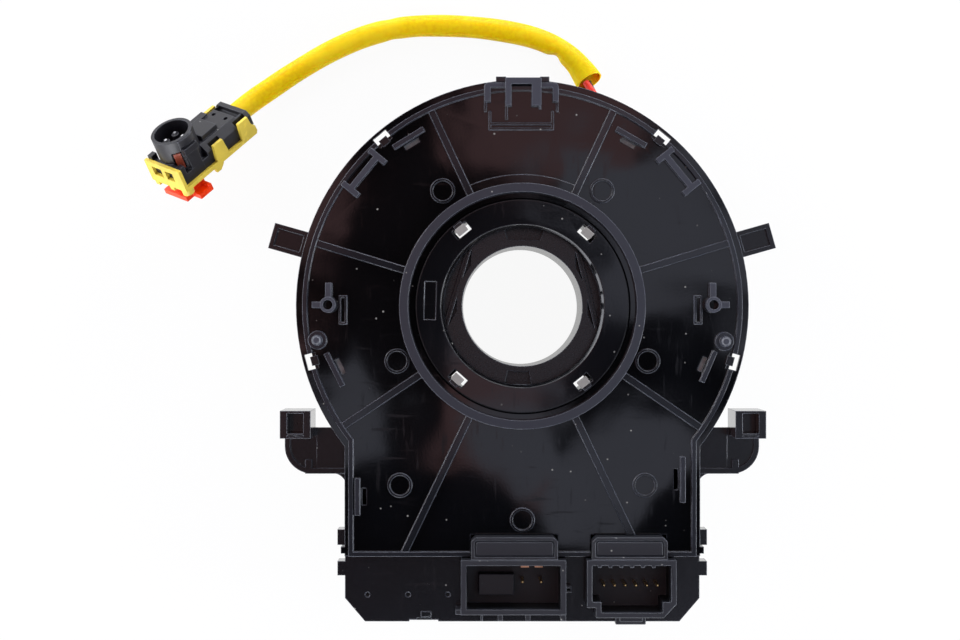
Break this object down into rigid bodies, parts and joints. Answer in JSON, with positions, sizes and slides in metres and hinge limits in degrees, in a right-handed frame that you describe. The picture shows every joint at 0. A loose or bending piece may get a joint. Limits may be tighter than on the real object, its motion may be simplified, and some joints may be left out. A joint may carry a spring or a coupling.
{
  "type": "steering clock spring",
  "caption": "Round ribbon-cable rotary connector for a steering wheel, with a ribbed case, a turning hub, a bottom skirt with sockets and a sleeved airbag lead.",
  "frame": {"origin": "on the steering axis, at the wheel-side end of the hub's bore, which is the surface the part lies on", "axes": "+Z along the steering axis towards the column, +X to the right seen from the column, -Y towards the bottom edge with the sockets"},
  "size_m": [0.1543, 0.1491, 0.0476],
  "materials": {
    "case_black": "moulded, satin gloss",
    "cover_black": "moulded, polished",
    "socket_black": "moulded, fine spark-eroded grain",
    "hub_black": "moulded, satin",
    "carrier_grey": "moulded, matt",
    "ribbon_film": "laminated film, smooth",
    "slip_film": "film, satin",
    "pin_gold": "plated, bright",
    "blade_copper": "stamped, bright",
    "pin_tin": "tinned, bright",
    "wire_red": "extruded, smooth",
    "wire_black": "extruded, smooth",
    "sleeve_yellow": "extruded, glossy",
    "plug_black": "moulded, satin",
    "frame_yellow": "moulded, satin",
    "lock_orange": "moulded, satin",
    "clip_brown": "moulded, matt"
  },
  "bodies": {
    "stator": {"front_case": "case_black", "rear_cover": "cover_black", "airbag_socket": "socket_black", "switch_socket": "socket_black", "airbag_socket_pins": "pin_gold", "airbag_shorting_bars": "blade_copper", "switch_socket_pins": "pin_gold", "stator_joint_block": "carrier_grey", "ribbon_cable_a": "ribbon_film", "ribbon_cable_b": "ribbon_film", "stator_slip_film": "slip_film"},
    "rotor": {"rotor": "hub_black", "face_plate": "hub_black", "hub_ring": "cover_black", "rotor_slip_film": "slip_film", "rotor_joint_block": "carrier_grey", "wheel_socket": "socket_black", "wheel_socket_pins": "pin_gold", "wire_cover": "hub_black", "airbag_wire_a": "wire_red", "airbag_wire_b": "wire_black", "lead_sleeve": "sleeve_yellow", "plug_housing": "plug_black", "plug_insert": "plug_black", "plug_contacts": "pin_tin", "plug_seal": "clip_brown", "plug_lock_frame": "frame_yellow"},
    "plug_lock": {"plug_lock": "lock_orange"}
  },
  "joints": [
    {"name": "rotor_turn", "type": "hinge", "parent": "stator", "child": "rotor", "pos_m": [0, 0, 0], "axis": [0, 0, 1], "range_deg": [-900, 900]},
    {"name": "plug_lock_slide", "type": "slide", "parent": "rotor", "child": "plug_lock", "axis": [-0.2761, 0.7364, 0.6177], "range_m": [0, 0.0024]}
  ]
}
